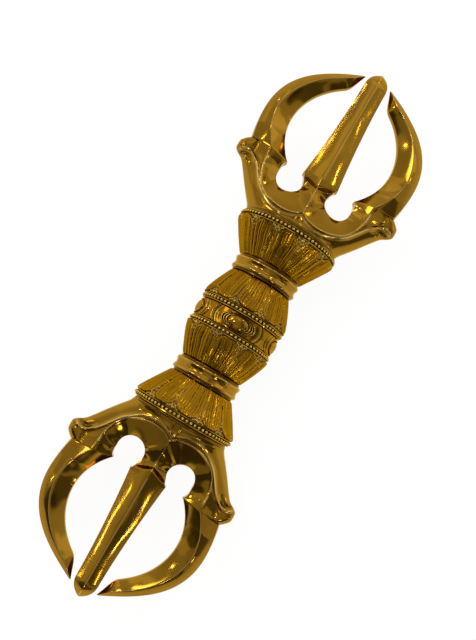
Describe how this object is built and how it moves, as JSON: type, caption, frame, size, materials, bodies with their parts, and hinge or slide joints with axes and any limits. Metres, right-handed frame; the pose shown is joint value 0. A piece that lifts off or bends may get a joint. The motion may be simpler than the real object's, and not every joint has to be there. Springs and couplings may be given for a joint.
{
  "type": "three-pronged vajra",
  "caption": "Hand-held brass ritual sceptre, the same at both ends: three-pronged heads, lotus cups with beaded rims, double ring bands and a middle drum with oval eye bosses.",
  "frame": {"origin": "middle of the grip drum, which is the middle of the whole object's box", "axes": "+X along the object towards the upper end, +Y to the left across the prongs with +X up, +Z up, square to the prongs and out of the eye that the picture shows"},
  "size_m": [0.18, 0.0552, 0.033],
  "materials": {
    "polished_brass": "polished, warm yellow, with soft casting ripple",
    "chased_brass": "polished on the high parts, with chased lines that hold a darker brown",
    "beaded_brass": "polished beads with dark brown between them"
  },
  "bodies": {
    "root": {"tie_rod": "polished_brass", "grip_drum": "chased_brass", "eye_bezel_front": "chased_brass", "eye_boss_front": "polished_brass", "eye_bezel_left": "chased_brass", "eye_boss_left": "polished_brass", "eye_bezel_back": "chased_brass", "eye_boss_back": "polished_brass", "eye_bezel_right": "chased_brass", "eye_boss_right": "polished_brass", "inner_beads_upper": "beaded_brass", "inner_lotus_upper": "chased_brass", "ring_band_upper": "polished_brass", "outer_lotus_upper": "chased_brass", "outer_beads_upper": "beaded_brass", "head_base_upper": "polished_brass", "centre_prong_upper": "polished_brass", "side_prong_upper_left": "polished_brass", "side_prong_upper_right": "polished_brass", "inner_beads_lower": "beaded_brass", "inner_lotus_lower": "chased_brass", "ring_band_lower": "polished_brass", "outer_lotus_lower": "chased_brass", "outer_beads_lower": "beaded_brass", "head_base_lower": "polished_brass", "centre_prong_lower": "polished_brass", "side_prong_lower_left": "polished_brass", "side_prong_lower_right": "polished_brass"}
  },
  "joints": []
}
